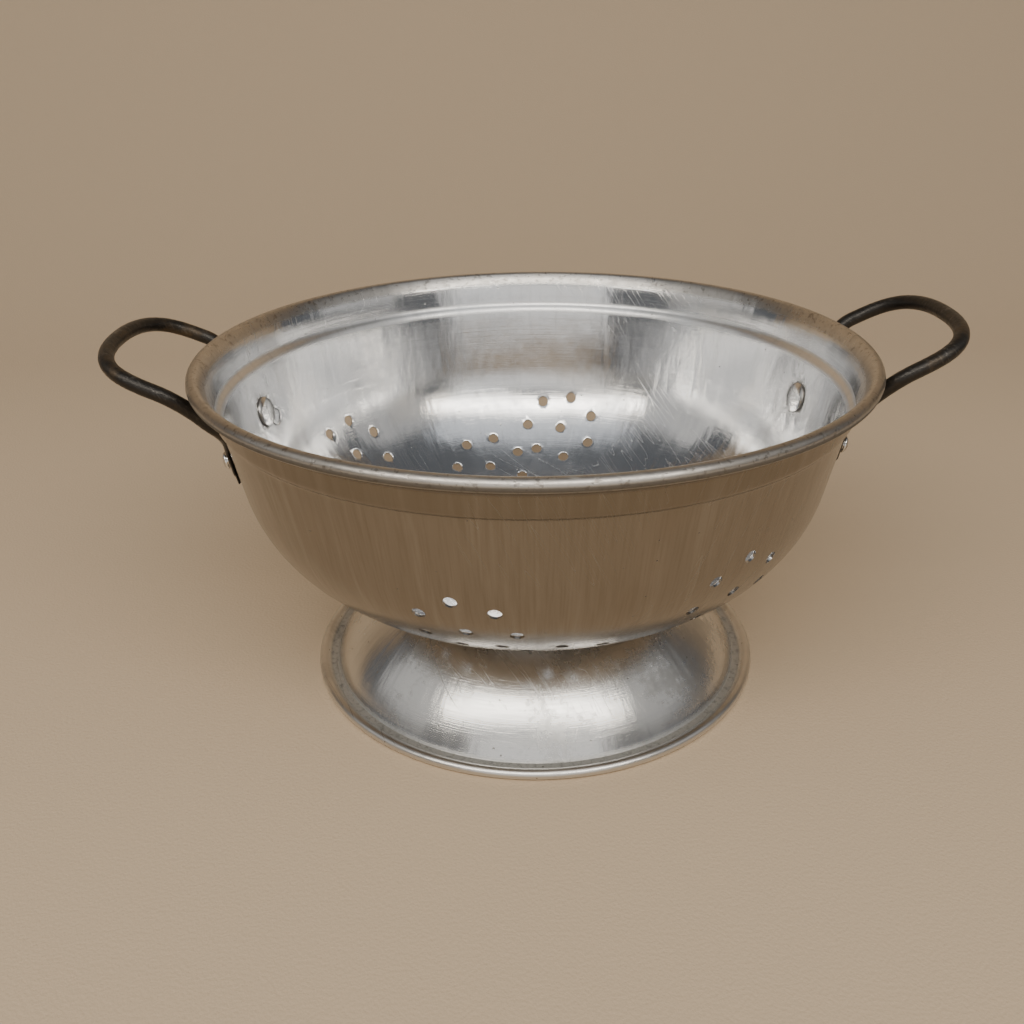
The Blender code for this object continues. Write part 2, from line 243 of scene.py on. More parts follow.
class Finish:  # a material under construction
    def __init__(self, name):
        self.material = bpy.data.materials.new(name)
        self.material.use_nodes = True
        self.tree = self.material.node_tree
        self.shader = self.tree.nodes["Principled BSDF"]
        self.place = self.node("ShaderNodeTexCoord", output="Object")

    def feed(self, socket, value):
        if isinstance(value, Value):
            self.tree.links.new(value.socket, socket)
        else:
            socket.default_value = value

    def node(self, kind, settings=None, inputs=None, output=0):
        node = self.tree.nodes.new(kind)
        for key, value in (settings or {}).items():
            setattr(node, key, value)
        for key, value in (inputs or {}).items():
            self.feed(node.inputs[key], value)
        return Value(self, node.outputs[output])

    def vectors(self, operation, a, b, output="Vector"):
        return self.node("ShaderNodeVectorMath", {"operation": operation}, {0: a, 1: b}, output)

    def scaled(self, vector, x, y, z):
        return self.vectors("MULTIPLY", vector, (x, y, z))

    def joined(self, x, y, z):
        return self.node("ShaderNodeCombineXYZ", None, {0: x, 1: y, 2: z})

    def split(self, vector):
        return [self.node("ShaderNodeSeparateXYZ", None, {0: vector}, i) for i in range(3)]

    def noise(self, vector, scale, detail=2.0, roughness=0.5, distortion=0.0):
        return self.node("ShaderNodeTexNoise", None, {"Vector": vector, "Scale": scale, "Detail": detail,
                                                      "Roughness": roughness, "Distortion": distortion})

    def cells(self, vector, scale, output="Distance"):
        return self.node("ShaderNodeTexVoronoi", None, {"Vector": vector, "Scale": scale}, output)

    def step(self, value, low, high):  # 0 at low, 1 at high and smooth between; low may be above high
        if low > high:
            return 1 - self.step(value, high, low)
        return self.node("ShaderNodeMapRange", {"interpolation_type": "SMOOTHSTEP"},
                         {"Value": value, "From Min": low, "From Max": high})

    def near(self, value, middle, half, soft):  # 1 within half of middle
        return self.step(abs(value - middle), half + soft, half)

    def distance(self, point):
        return self.vectors("DISTANCE", self.place, point, "Value")

    def mix(self, factor, a, b):  # by number, because a Mix node's colour sockets share their names
        return self.node("ShaderNodeMix", {"data_type": "RGBA"}, {0: factor, 6: a, 7: b}, 2)

    def mark(self, colour, mask, paint):  # lays a mark over the metal: paint is its colour and strength
        return self.mix(mask * paint[1], colour, paint[0])

    def least(self, a, b):
        return self.node("ShaderNodeMath", {"operation": "MINIMUM"}, {0: a, 1: b})

    def fromAxis(self):
        flat = self.scaled(self.place, 1, 1, 0)
        return self.node("ShaderNodeVectorMath", {"operation": "LENGTH"}, {0: flat}, "Value")

    def bump(self, height, distance, normal=None):
        inputs = {"Height": height, "Distance": distance}
        if normal:
            inputs["Normal"] = normal
        return self.node("ShaderNodeBump", None, inputs)

    def hairlines(self, turn, scale, stretch, width, share):  # thin scratches, mostly in one direction
        turned = self.node("ShaderNodeMapping", None, {"Vector": self.place, "Rotation": turn})
        line = self.noise(self.scaled(turned, 1, stretch, 1), scale, 0.0)
        where = self.step(self.noise(turned, scale * 0.4, 1.0), 1 - share, 1.03 - share)
        normal = self.node("ShaderNodeNewGeometry", output="Normal")
        across = self.split(self.node("ShaderNodeMapping", None, {"Vector": normal, "Rotation": turn}))[1]
        where = where * self.step(abs(across), 0.72, 0.45)         # else the lines widen and close into loops
        return self.step(abs(line - 0.5), width, 0.0) * where

    def specks(self, scale, size, share):  # small spots in some of the cells
        spot = self.step(self.cells(self.place, scale), size, size * 0.5)
        pick = self.split(self.cells(self.place, scale, "Color"))[0]
        return spot * self.step(pick, 1 - share, 1.001 - share)

    def done(self, **sockets):
        for key, value in sockets.items():
            self.feed(self.shader.inputs[key.replace("_", " ")], value)
        return self.material


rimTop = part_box("bowl")[1]
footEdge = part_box("foot")[1]

bowlSet = {
    "rimRadius": rimTop.y, "height": rimTop.z, "bead": 0.00225, "sheet": 0.0011,
    "floorHeight": 0.0352, "floorRadius": 0.038,
    "domeRadius": 0.0745, "cornerRadius": 0.0515, "domeTurn": 47.0,   # the two arcs below the wall
    "lean": 11.3,                                                     # degrees that the wall leans out
    "stepHeight": 0.1095, "stepTurn": 36.0, "stepLength": 0.0024, "stepRound": 0.0032,
    "lipTurn": 140.0, "curlEnd": -122.0,                              # degrees round the rim's bead
    "bandPull": 0.0065, "lipPull": 0.0036,                            # of the curve from step to bead
    "around": 256, "gap": 0.0026,
    "holeRadius": 0.0022, "ringRadius": 0.0153, "ringHoles": 7,
    "castFrom": 0.012,                                                # how far inside a hole is sought from
    "punch": (-0.0003, 0.0031), "punchFlare": ((0.0002, 1.06), (0.0003, 1.30)),
    # each rosette: bearing, height, and degrees from level to the ring's first hole
    "rosettes": [
        (80, 0.0580, 2), (143, 0.0605, 3), (187, 0.0620, 2),
        (256, 0.0650, -3), (306, 0.0690, -12), (4, 0.0600, 2),
        (103, 0.0458, 4), (165, 0.0458, 2), (230, 0.0458, 2),
        (276, 0.0465, 2), (336, 0.0458, 2), (28, 0.0458, 2),
    ],
    "waveSize": 0.030, "wave": 0.00025,                               # unevenness of the spun sheet
    "waveHeights": (0.038, 0.058, 0.095, 0.107),                      # its start, full part and end
}

rivetSet = {
    "bearing": 12.5,
    "heights": {"right": 0.0945, "left": 0.0930},
    "shank": 0.0020, "head": (0.0060, 0.0017), "tail": (0.0032, 0.0015),
    "footCircle": 0.0285, "footShank": 0.0015, "footHead": (0.0031, 0.0011),
    "gap": 0.0003, "drill": 0.008, "around": 48,
    "headEdge": 0.985, "tailEdge": 0.97,               # radius of their flat sides, as a share of theirs
    "dentSize": 0.0028, "dent": 0.00013,
}


def bowlOutline(s):  # middle of the sheet, from the axis to the end of the rolled rim
    start = Vector((s["floorRadius"], 0, s["floorHeight"]))
    domeCentre = start + Vector((0, 0, s["domeRadius"]))
    cornerCentre = onCircle(domeCentre, s["domeRadius"] - s["cornerRadius"], s["domeTurn"] - 90)
    line = [Vector((0, 0, s["floorHeight"]))]
    line += arc(domeCentre, s["domeRadius"], -90, s["domeTurn"] - 90, 22)
    line += arc(cornerCentre, s["cornerRadius"], s["domeTurn"] - 90, -s["lean"], 11)[1:]
    lean, slope = math.radians(s["lean"]), math.radians(s["lean"] + s["stepTurn"])
    wall = Vector((math.sin(lean), 0, math.cos(lean)))
    stepLow = line[-1] + wall * ((s["stepHeight"] - line[-1].z) / wall.z)
    stepHigh = stepLow + Vector((math.sin(slope), 0, math.cos(slope))) * s["stepLength"]
    beadCentre = Vector((s["rimRadius"] - s["bead"], 0, s["height"] - s["bead"]))
    beadMiddle = s["bead"] - s["sheet"] / 2
    lip = onCircle(beadCentre, beadMiddle, s["lipTurn"])
    lipPull = onCircle(lip, s["lipPull"], s["lipTurn"] + 90)
    bandPull = stepHigh + wall * s["bandPull"]
    line += fillet(line[-1], stepLow, stepHigh, s["stepRound"])
    line += fillet(stepLow, stepHigh, bandPull, s["stepRound"])
    line += bend(line[-1], bandPull, lipPull, lip, 9)
    line += arc(beadCentre, beadMiddle, s["lipTurn"], s["curlEnd"], 22)[1:]
    return spaced(line, s["gap"])


def makePunch(s):  # a round punch whose mouth flares on the bowl's inner side
    low, high = s["punch"]
    deselectAll()
    bpy.ops.mesh.primitive_cylinder_add(vertices=28, radius=s["holeRadius"], depth=high - low,
                                        location=(0, 0, (low + high) / 2))
    punch = bpy.context.object
    settle(punch)
    editWhere(punch, "FACE", lambda face: face.normal.z < -0.9)
    for drop, widen in s["punchFlare"]:
        bpy.ops.mesh.extrude_region_move(TRANSFORM_OT_translate={"value": (0, 0, -drop)})
        bpy.ops.transform.resize(value=(widen, widen, 1))
    bpy.ops.object.mode_set(mode="OBJECT")
    return punch


def makeDrill(radius, depth, places):
    deselectAll()
    bpy.ops.mesh.primitive_cylinder_add(vertices=20, radius=radius, depth=depth)
    return copyTo(bpy.context.object, places)


def drainHoles(sheet, s):  # the matrix of every hole, each square to the sheet
    middles = [(placeAt(Vector((0, 0, s["floorHeight"])), downward), 90)]
    middles += [(onWall(sheet, bearing, height), turn) for bearing, height, turn in s["rosettes"]]
    places = []
    for middle, turn in middles:
        outward = middle.to_3x3() @ Vector((0, 0, 1))
        places.append(middle)
        for i in range(s["ringHoles"]):
            spot = onCircle(Vector(), s["ringRadius"], turn + 360 * i / s["ringHoles"])
            start = middle @ Vector((spot.x, spot.z, -s["castFrom"]))
            places.append(onSheet(sheet, start, outward))
    return places


def handleRivetPlaces(sheet, s):
    places = {}
    for side, middle, rear in (("right", 0.0, s["bearing"]), ("left", 180.0, -s["bearing"])):
        places[side + "_handle_rear_rivet"] = onWall(sheet, middle + rear, s["heights"][side])
        places[side + "_handle_front_rivet"] = onWall(sheet, middle - rear, s["heights"][side])
    return places


def footRivetPlaces(s, height):
    places = {}
    for i in range(3):
        angle = math.tau * i / 3 + math.pi / 2
        spot = Vector((math.cos(angle) * s["footCircle"], math.sin(angle) * s["footCircle"], height))
        places["foot_rivet_%d" % (i + 1)] = placeAt(spot, downward)
    return places


bowl = turnOutline("bowlVisual", bowlOutline(bowlSet), bowlSet["around"])
wallGroup = bowl.vertex_groups.new(name="wall")
waveStart, waveFull, waveFade, waveEnd = bowlSet["waveHeights"]
for vertex in bowl.data.vertices:
    rise = (vertex.co.z - waveStart) / (waveFull - waveStart)
    fall = (waveEnd - vertex.co.z) / (waveEnd - waveFade)
    wallGroup.add([vertex.index], min(1, max(0, rise)) * min(1, max(0, fall)), "REPLACE")
addModifier(bowl, "DISPLACE", texture=clouds("sheetWaves", bowlSet["waveSize"], 1), mid_level=0.5,
            strength=bowlSet["wave"], vertex_group="wall", texture_coords="LOCAL")
holePlaces = drainHoles(bowl, bowlSet)
handleRivets = handleRivetPlaces(bowl, rivetSet)
footRivets = footRivetPlaces(rivetSet, bowlSet["floorHeight"])
addModifier(bowl, "SOLIDIFY", thickness=bowlSet["sheet"], offset=0.0, use_even_offset=True)
cutAway(bowl, copyTo(makePunch(bowlSet), holePlaces))
cutAway(bowl, makeDrill(rivetSet["shank"] + rivetSet["gap"], rivetSet["drill"], handleRivets.values()))
cutAway(bowl, makeDrill(rivetSet["footShank"] + rivetSet["gap"], rivetSet["drill"], footRivets.values()))
smooth(bowl)
print("bowl:", len(bowl.data.polygons), "faces")


footSet = {
    "edgeRadius": footEdge.y, "bead": 0.0018, "sheet": 0.0010,
    "skirtRadius": 0.060, "skirtBase": 0.0793, "skirtSlope": 63.0, "baseHeight": 0.0016,   # the domed skirt
    "gutterHeight": 0.0013, "gutterWidth": 0.0030, "flangeHole": 0.0235,
    "flangeRound": 0.004, "gutterRound": 0.0007,
    "lipTurn": 138.0, "curlEnd": -135.0,
    "around": 256, "gap": 0.0024,
}


def footOutline(s):  # middle of the sheet, from the hole in the flange out to the end of the bead
    top = bowlSet["floorHeight"] - bowlSet["sheet"] / 2 - rivetSet["gap"] - s["sheet"] / 2
    base = Vector((s["skirtBase"], 0, s["baseHeight"]))
    centre = onCircle(base, -s["skirtRadius"], 90 - s["skirtSlope"])
    topSlope = math.degrees(math.acos((top - centre.z) / s["skirtRadius"]))
    skirt = arc(centre, s["skirtRadius"], 90 - topSlope, 90 - s["skirtSlope"], 26)
    gutterEnd = Vector((s["skirtBase"] + s["gutterWidth"], 0, s["gutterHeight"]))
    beadCentre = Vector((s["edgeRadius"] - s["bead"], 0, s["bead"]))
    beadMiddle = s["bead"] - s["sheet"] / 2
    lip = onCircle(beadCentre, beadMiddle, s["lipTurn"])
    flange = Vector((s["flangeHole"], 0, top))
    fall = (skirt[-1] - skirt[-3]).normalized()
    corner = skirt[-3] + fall * ((s["gutterHeight"] - skirt[-3].z) / fall.z)
    line = [flange] + fillet(flange, skirt[0], skirt[3], s["flangeRound"], 5) + skirt[4:-2]
    line += fillet(skirt[-3], corner, gutterEnd, s["gutterRound"], 5)
    line += fillet(corner, gutterEnd, lip, s["gutterRound"], 3)
    line += arc(beadCentre, beadMiddle, s["lipTurn"], s["curlEnd"], 22)
    return spaced(line, s["gap"])


foot = turnOutline("footVisual", footOutline(footSet), footSet["around"])
addModifier(foot, "SOLIDIFY", thickness=footSet["sheet"], offset=0.0, use_even_offset=True)
cutAway(foot, makeDrill(rivetSet["footShank"] + rivetSet["gap"], rivetSet["drill"], footRivets.values()))
smooth(foot)
print("foot:", len(foot.data.polygons), "faces")


def makeRivet(name, place, shank, head, tail, headBase, tailBase, dents):
    below, above = -headBase, tailBase
    outline = [Vector((0, 0, below - head[1]))]
    outline += [Vector((head[0] * math.sin(a), 0, below - head[1] * math.cos(a)))
                for a in (math.radians(d) for d in range(10, 90, 10))]
    outline += [Vector((head[0] * rivetSet["headEdge"], 0, below)), Vector((shank, 0, below)),
                Vector((shank, 0, above)), Vector((tail[0] * rivetSet["tailEdge"], 0, above))]
    outline += [Vector((tail[0] * math.cos(a), 0, above + tail[1] * math.sin(a)))
                for a in (math.radians(d) for d in range(8, 88, 10))]
    outline.append(Vector((0, 0, above + tail[1])))
    rivet = turnOutline(name + "Visual", spaced(outline, 0.0007), rivetSet["around"])
    rivet.matrix_world = place
    settle(rivet)
    addModifier(rivet, "DISPLACE", texture=dents, mid_level=0.5, strength=rivetSet["dent"],
                texture_coords="LOCAL")
    smooth(rivet, 50)
    return rivet


handleSet = {
    "wire": 0.00264, "sides": 32, "cuts": (100, 3),
    "loopStart": 0.116, "loopReach": 0.0308, "loopHalfWidth": 0.033, "loopSteps": 240,
    "loopBend": 2.26, "loopSides": 4.9,                # exponents of the loop's outline: across and along
    "legReach": 0.010, "legPulls": (0.0065, 0.0085),
    "paddleBelow": 0.0085, "paddleAbove": 0.0055,      # from the rivet
    "paddleRises": (-0.004, 0, 0.003),                 # its points between the two
    "paddleWidth": 0.0048, "paddleThickness": 0.0011,  # halves
    "paddleFade": 0.012, "tipFade": 0.004, "tipShare": (0.62, 0.6), "drill": 0.016,
    "loopHeights": {"right": 0.1181, "left": 0.1163}, "tilts": {"right": 26.5, "left": 24.2},
    "wrinkleSize": 0.0030, "wrinkle": 0.00050, "wrinkleEdge": 0.3, "wrinkleReach": 1.3,
    "pitSize": 0.0016, "pits": 0.00012,
}


def paddlePoint(height):  # middle of a beaten end on the wall's outside, at the handle's +Y side
    lean = math.radians(bowlSet["lean"])
    for a, b in zip(bowlPoints, bowlPoints[1:]):
        if a.z <= height <= b.z:
            spot = a.lerp(b, (height - a.z) / (b.z - a.z))
            break
    out = bowlSet["sheet"] / 2 + rivetSet["gap"] + handleSet["paddleThickness"]
    spot += Vector((math.cos(lean), 0, -math.sin(lean))) * out
    angle = math.radians(rivetSet["bearing"])
    return Vector((spot.x * math.cos(angle), spot.x * math.sin(angle), spot.z))


def handleRoute(side, s):  # the wire's middle line on the right-hand side, from end to end
    tilt = math.radians(s["tilts"][side])
    outward = Vector((math.cos(tilt), 0, math.sin(tilt)))
    start = Vector((s["loopStart"], 0, s["loopHeights"][side]))
    loop = []
    for i in range(s["loopSteps"] + 1):
        angle = math.pi * i / s["loopSteps"]
        along = s["loopReach"] / math.cos(tilt) * math.sin(angle) ** (2 / s["loopSides"])
        turn = math.cos(angle)
        across = s["loopHalfWidth"] * math.copysign(abs(turn) ** (2 / s["loopBend"]), turn)
        if along >= s["legReach"]:
            loop.append(start + outward * along + Vector((0, across, 0)))
    rivetHeight = rivetSet["heights"][side]
    rises = (-s["paddleBelow"], *s["paddleRises"], s["paddleAbove"])
    paddle = [paddlePoint(rivetHeight + rise) for rise in rises]
    lowPull = paddle[-1] + (paddle[-1] - paddle[-2]).normalized() * s["legPulls"][0]
    highPull = loop[0] - (loop[1] - loop[0]).normalized() * s["legPulls"][1]
    half = paddle + bend(paddle[-1], lowPull, highPull, loop[0], 14)[:-1]
    return half + loop + [Vector((p.x, -p.y, p.z)) for p in half[::-1]]


def makeHandle(side, s):
    route = handleRoute(side, s)
    length = sum((b - a).length for a, b in zip(route, route[1:]))
    deselectAll()
    bpy.ops.curve.primitive_nurbs_path_add()
    path = bpy.context.object
    path.data.splines.clear()
    path.data.dimensions = "3D"
    path.data.twist_mode = "Z_UP"
    spline = path.data.splines.new("POLY")
    spline.points.add(len(route) - 1)
    for point, spot in zip(spline.points, route):
        point.co = (*spot, 1)
    deselectAll()
    bpy.ops.mesh.primitive_cylinder_add(vertices=s["sides"], radius=s["wire"], depth=length,
                                        location=(length / 2, 0, 0), rotation=(0, math.pi / 2, 0))
    handle = bpy.context.object
    handle.name = handle.data.name = side + "_handleVisual"
    settle(handle)
    for cuts in s["cuts"]:
        editWhere(handle, "EDGE", lambda a, b: abs(a.x - b.x) > s["wire"] / 10)
        bpy.ops.mesh.subdivide(number_cuts=cuts)
    flatEnd = s["paddleBelow"] + s["paddleAbove"]
    for end in (0.0, length):  # beats the ends flat and narrows their tips
        editWhere(handle, "VERT", lambda point: abs(point.x - end) < flatEnd)
        bpy.ops.transform.resize(value=(1, s["paddleWidth"] / s["wire"], s["paddleThickness"] / s["wire"]),
                                 center_override=(end, 0, 0), use_proportional_edit=True,
                                 proportional_edit_falloff="SMOOTH", proportional_size=s["paddleFade"])
        editWhere(handle, "VERT", lambda point: abs(point.x - end) < 0.00001)
        bpy.ops.transform.resize(value=(1, *s["tipShare"]), center_override=(end, 0, 0),
                                 use_proportional_edit=True, proportional_edit_falloff="SPHERE",
                                 proportional_size=s["tipFade"])
    bpy.ops.object.mode_set(mode="OBJECT")
    ends = handle.vertex_groups.new(name="ends")
    for vertex in handle.data.vertices:
        along = min(vertex.co.x, length - vertex.co.x)
        edge = min(1, max(0, abs(vertex.co.y) / s["paddleWidth"] - s["wrinkleEdge"]))
        ends.add([vertex.index], max(0, 1 - along / (flatEnd * s["wrinkleReach"])) * edge, "REPLACE")
    addModifier(handle, "DISPLACE", texture=clouds("beatenEdge", s["wrinkleSize"]), mid_level=0.6,
                strength=s["wrinkle"], vertex_group="ends", texture_coords="LOCAL")
    addModifier(handle, "DISPLACE", texture=clouds("wirePits", s["pitSize"], 3), mid_level=0.7,
                strength=s["pits"], texture_coords="LOCAL")
    addModifier(handle, "CURVE", object=path, deform_axis="POS_X")
    bpy.data.objects.remove(path)
    if side == "left":
        handle.rotation_euler.z = math.pi
        settle(handle)
    places = [place for name, place in handleRivets.items() if name.startswith(side)]
    cutAway(handle, makeDrill(rivetSet["shank"] + rivetSet["gap"], s["drill"], places))
    smooth(handle, 40)
    return handle


# In every finish a mark is given as its colour and how strongly it shows.

bowlFinish = {
    # the outside colour is far darker than the inside: painted shade, standing in for the dark surroundings
    # the outer wall reflects
    "outside": (0.29, 0.268, 0.24, 1), "inside": (0.88, 0.88, 0.88, 1),
    "rimHeights": (0.1195, 0.1215), "bandHeights": (0.1085, 0.1115),  # where each starts and is full
    "stepMiddle": 0.1104,
    # the next colour is painted shade on the outer band just under the bead
    "underRimShade": ((0.21, 0.185, 0.155, 1), 0.6),
    # dull frosty patches inside are real; their blue-grey tint is a painted reflection of a cool sky
    "smudge": ((0.60, 0.64, 0.70, 1), 0.5),
    "outerStain": ((0.27, 0.235, 0.195, 1), 0.5),
    # warm tint on the stain patches inside: a painted reflection of warm surroundings
    "innerWarmReflection": ((0.84, 0.77, 0.67, 1), 0.4),
    "streak": ((0.60, 0.60, 0.60, 1), 1), "streakShare": (0.12, 0.16),  # everywhere, and more inside
    # fine brown vertical streaks on the outside: a painted reflection of a brown woven surface
    "fineStreakReflection": ((0.21, 0.18, 0.145, 1), 0.35),
    "rim": ((0.54, 0.515, 0.48, 1), 0.85),
    "tarnish": ((0.33, 0.30, 0.265, 1), 0.30),
    "scratch": ((0.40, 0.40, 0.40, 1), 0.16),
    "spot": ((0.16, 0.14, 0.12, 1), 1), "speckShare": 0.7, "nickShare": 0.5,
    # the darkest mark: painted shade in the curl and a painted shadow line under the bead, grime with painted
    # shade round the rivets
    "grimeAndShade": ((0.075, 0.062, 0.045, 1), 0.85), "grimeAndShadeRing": (0.0082, 0.0058),
    "roughness": 0.14,
    # heights of the bumps in metres
    "wave": 0.00022, "pucker": 0.0007, "imprint": 0.00035, "turning": 0.000028, "scratchDepth": 0.00004,
    "imprintPlace": (-0.0066, -0.0040), "imprintRadius": 0.0034,      # from the left rear rivet
}


def makeBowlMetal(s):
    f = Finish("bowlAluminium")
    x, y, z = f.split(f.place)
    radius = f.fromAxis()
    acrossX, acrossY = x / radius, y / radius
    normal = f.node("ShaderNodeNewGeometry", output="Normal")
    fromMiddle = f.vectors("SUBTRACT", f.place, (0, 0, 0.11))
    facing = f.vectors("DOT_PRODUCT", normal, fromMiddle, "Value")
    inside = f.step(facing, 0.01, -0.01)
    outside = 1 - inside
    rim = f.step(z, *s["rimHeights"])
    step = f.near(z, s["stepMiddle"], 0.0013, 0.0016) * inside

    smudge = f.noise(f.place, 17, 5, 0.62, 0.6)
    grain = f.noise(f.place, 420, 3, 0.7)
    dull = f.step(smudge + (grain - 0.5) * 0.20, 0.44, 0.74) * inside * (1 - rim)
    onWalls = f.step(radius, 0.018, 0.055)     # nothing that runs up the wall meets in the middle
    streak = f.noise(f.joined(acrossX * 9, acrossY * 9, z * 6), 3.0, 4, 0.6)
    fine = f.noise(f.joined(acrossX * 55, acrossY * 55, z * 18), 3.0, 2, 0.6)
    stain = f.step(f.noise(f.place, 9, 3, 0.6, 1.2), 0.55, 0.75)
    turning = f.noise(f.joined(acrossX, acrossY, (radius + z) * 1700), 1.6, 3, 0.6)
    rub = (f.hairlines((0.3, 0.2, 0.5), 24, 14, 0.010, 0.55)
           + f.hairlines((1.2, 0.4, 1.9), 30, 16, 0.009, 0.45))
    specks = f.specks(420, 0.17, 0.035)
    nicks = f.step(f.noise(f.place, 520, 2, 0.6), 0.58, 0.68) * rim
    tarnish = f.step(f.noise(f.place, 260, 4, 0.75, 0.8), 0.40, 0.70) * rim

    # painted shade inside the curl of the bead, then a painted shadow line under the bead, then grime with
    # painted shade round the rivets
    grimeAndShade = f.near(z, 0.1221, 0.0004, 0.0009) * f.step(radius, 0.1165, 0.1175) * outside  # in the curl
    grimeAndShade = grimeAndShade + f.near(z, 0.1196, 0.0002, 0.0022) * outside * f.step(radius, 0.119, 0.117)
    for place in handleRivets.values():
        ring = f.step(f.distance(place.translation), *s["grimeAndShadeRing"])
        grimeAndShade = grimeAndShade + ring * f.step(grain, 0.35, 0.65) * 0.9
    grimeAndShade = f.least(grimeAndShade, 1.0)

    # inside and outside bases: the much darker outside is painted shade, for the dark surroundings the outer
    # wall reflects
    colour = f.mix(inside, s["outside"], s["inside"])
    # painted shade on the outer band just under the bead
    colour = f.mark(colour, f.step(z, *s["bandHeights"]) * outside * (1 - rim), s["underRimShade"])
    # dull frosty patches inside; their blue-grey tint is a painted reflection of a cool sky
    colour = f.mark(colour, dull, s["smudge"])
    colour = f.mark(colour, stain * outside, s["outerStain"])
    share = s["streakShare"][0] + inside * s["streakShare"][1]
    colour = f.mark(colour, f.step(streak, 0.45, 0.75) * onWalls * share, s["streak"])
    # fine brown vertical streaks on the outside: a painted reflection of a brown woven surface
    colour = f.mark(colour, f.step(fine, 0.40, 0.70) * outside * onWalls, s["fineStreakReflection"])
    # inside, the stain patches get a warm tint: a painted reflection of warm surroundings
    colour = f.mark(colour, stain * inside, s["innerWarmReflection"])
    colour = f.mark(colour, rim, s["rim"])
    colour = f.mark(colour, tarnish, s["tarnish"])
    colour = f.mark(colour, rub, s["scratch"])
    colour = f.mark(colour, specks * s["speckShare"] + nicks * s["nickShare"], s["spot"])
    # painted shade in the curl and under the bead, grime with painted shade round the rivets
    colour = f.mark(colour, grimeAndShade, s["grimeAndShade"])

    rough = s["roughness"] + outside * 0.05 + dull * 0.12 + (grain - 0.5) * 0.06 + stain * 0.06
    rough = rough + (streak - 0.5) * onWalls * 0.08 + (fine - 0.5) * onWalls * 0.06 + step * 0.22
    rough = rough + rim * 0.14 + tarnish * 0.10 + rub * 0.15 + grimeAndShade * 0.35 + specks * 0.3

    waves = f.noise(f.joined(acrossX * 7, acrossY * 7, z * 26), 2.2, 2, 0.5)
    bumps = f.bump(waves * onWalls, s["wave"])
    for place in handleRivets.values():
        drawn = f.step(f.distance(place.translation), 0.022, 0.006)
        bumps = f.bump(f.noise(f.place, 95, 2, 0.6, 0.5) * drawn, s["pucker"], bumps)
    imprint = handleRivets["left_handle_rear_rivet"] @ Vector((*s["imprintPlace"], 0))
    ring = f.near(f.distance(imprint), s["imprintRadius"], 0.0002, 0.0005) * inside
    bumps = f.bump(1 - ring, s["imprint"], bumps)
    bumps = f.bump(turning, s["turning"], bumps)
    bumps = f.bump(1 - rub * 0.35 - nicks - specks, s["scratchDepth"], bumps)
    return f.done(Base_Color=colour, Roughness=rough, Metallic=1 - grimeAndShade * 0.55, Normal=bumps,
                  Anisotropic=0.45, Anisotropic_Rotation=0.25)


footFinish = {
    "bright": (0.79, 0.785, 0.77, 1), "smudged": (0.58, 0.575, 0.56, 1),
    "beadStart": (0.0828, 0.0838), "dirtMiddle": 0.0811, "neckHeights": (0.0325, 0.0342),
    "bead": ((0.62, 0.60, 0.57, 1), 0.6),
    "scratch": ((0.42, 0.42, 0.41, 1), 0.16),
    "cut": ((0.14, 0.12, 0.11, 1), 0.7),
    "speck": ((0.17, 0.15, 0.12, 1), 0.7),
    # this colour serves real dirt in the gutter and painted shade at the neck under the bowl
    "dirtAndShade": ((0.055, 0.058, 0.040, 1), 0.9),
    "roughness": 0.23,
    "wave": 0.00015, "turning": 0.000035, "scratchDepth": 0.00003,    # heights of the bumps in metres
}


def makeFootMetal(s):
    f = Finish("footAluminium")
    x, y, z = f.split(f.place)
    radius = f.fromAxis()
    acrossX, acrossY = x / radius, y / radius
    bead = f.step(radius, *s["beadStart"])
    grain = f.noise(f.place, 380, 3, 0.7)
    smudge = f.step(f.noise(f.place, 26, 5, 0.65, 0.5) + (grain - 0.5) * 0.3, 0.50, 0.68)
    turning = f.noise(f.joined(acrossX, acrossY, (radius - z) * 1500), 1.7, 3, 0.6)
    rub = (f.hairlines((0.2, 0.1, 0.9), 26, 15, 0.011, 0.45)
           + f.hairlines((0.5, 1.1, 2.2), 34, 17, 0.009, 0.4))
    cuts = f.hairlines((0.9, 0.3, 1.35), 13, 9, 0.004, 0.36)
    specks = f.specks(420, 0.20, 0.06)
    gutter = f.near(radius, s["dirtMiddle"], 0.0008, 0.0016) * f.step(z, 0.0050, 0.0022)
    crumbs = f.step(f.noise(f.place, 450, 3, 0.7), 0.46, 0.70)
    neck = f.step(z, *s["neckHeights"])
    # the gutter mark is dirt; the neck mark is painted shade where the top of the skirt sits under the bowl
    dirtAndShade = f.least(gutter * (0.50 + crumbs * 0.30) + neck * 0.5, 1.0)

    colour = f.mix(smudge, s["bright"], s["smudged"])
    colour = f.mark(colour, bead, s["bead"])
    colour = f.mark(colour, rub, s["scratch"])
    colour = f.mark(colour, cuts, s["cut"])
    colour = f.mark(colour, specks, s["speck"])
    colour = f.mark(colour, dirtAndShade, s["dirtAndShade"])
    rough = s["roughness"] + smudge * 0.10 + (grain - 0.5) * 0.08 + bead * 0.08
    rough = rough + rub * 0.12 + dirtAndShade * 0.4 + cuts * 0.2

    waves = f.noise(f.joined(acrossX * 8, acrossY * 8, z * 30), 2.0, 2, 0.5)
    bumps = f.bump(waves, s["wave"])
    bumps = f.bump(turning, s["turning"], bumps)
    bumps = f.bump(1 - rub * 0.25 - cuts - specks + crumbs * dirtAndShade * 2, s["scratchDepth"], bumps)
    return f.done(Base_Color=colour, Roughness=rough, Metallic=1 - dirtAndShade * 0.6, Normal=bumps,
                  Anisotropic=0.4, Anisotropic_Rotation=0.25)


